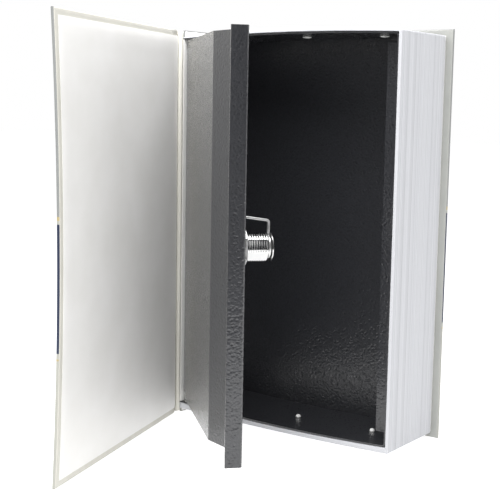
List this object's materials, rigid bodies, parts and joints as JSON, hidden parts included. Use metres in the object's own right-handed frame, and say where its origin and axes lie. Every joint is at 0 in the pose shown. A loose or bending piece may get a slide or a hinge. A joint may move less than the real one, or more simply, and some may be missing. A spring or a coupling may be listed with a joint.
{
  "type": "book diversion safe",
  "caption": "Upright hardcover book that hides a steel compartment, with a swinging front cover, a hinged steel door behind it and a keyed cam lock that hooks behind a strike lip.",
  "frame": {"origin": "middle of the box round the open safe in plan, on the surface that the covers' tail edges stand on", "axes": "+X from the spine to the fore edge, +Y from the front of the page block to the back cover, +Z from the tail up to the head"},
  "size_m": [0.1582, 0.2058, 0.24],
  "materials": {
    "steel_paint": "dark grey paint, semi gloss with a fine hammered texture",
    "page_plastic": "white, satin, with fine page lines",
    "rivet_white": "white satin",
    "printed_wrap": "laminated paper, soft sheen",
    "endpaper": "white paper, soft sheen",
    "cover_board": "grey card, matt",
    "lock_chrome": "polished",
    "pin_steel": "plain steel"
  },
  "bodies": {
    "safe": {"page_surround": "page_plastic", "steel_box": "steel_paint", "strike_lip": "steel_paint", "page_rivet_tail_1": "rivet_white", "page_rivet_tail_2": "rivet_white", "page_rivet_tail_3": "rivet_white", "page_rivet_head_1": "rivet_white", "page_rivet_head_2": "rivet_white", "page_rivet_head_3": "rivet_white", "hinge_pin_tail": "pin_steel", "hinge_pin_head": "pin_steel", "hinge_bush_tail": "pin_steel", "hinge_bush_head": "pin_steel", "spine_board": "cover_board", "spine_wrap": "printed_wrap", "back_board": "cover_board", "back_wrap": "printed_wrap", "back_endpaper": "endpaper", "cover_fold": "printed_wrap"},
    "door": {"door_panel": "steel_paint", "lock_housing": "lock_chrome", "lock_washer": "lock_chrome", "lock_nut": "lock_chrome"},
    "lock": {"key_plug": "lock_chrome", "lock_cam": "lock_chrome", "cam_nut": "lock_chrome"},
    "front_cover": {"front_board": "cover_board", "front_wrap": "printed_wrap", "front_endpaper": "endpaper"}
  },
  "joints": [
    {"name": "door_hinge", "type": "hinge", "parent": "safe", "child": "door", "pos_m": [-0.07128, 0.05092, 0.1206], "axis": [0, 0, -1], "range_deg": [-42.3, 42.7]},
    {"name": "cover_hinge", "type": "hinge", "parent": "safe", "child": "front_cover", "pos_m": [-0.07762, 0.04708, 0.12], "axis": [0, 0, -1], "range_deg": [-72.2, 72.89]},
    {"name": "lock_turn", "type": "hinge", "parent": "door", "child": "lock", "pos_m": [0.01572, -0.03222, 0.1216], "axis": [0.673, 0.7396, 0], "range_deg": [0, 90]}
  ],
  "couplings": [
    {"joint": "cover_hinge", "follows": "door_hinge", "ratio": 1.7069}
  ]
}
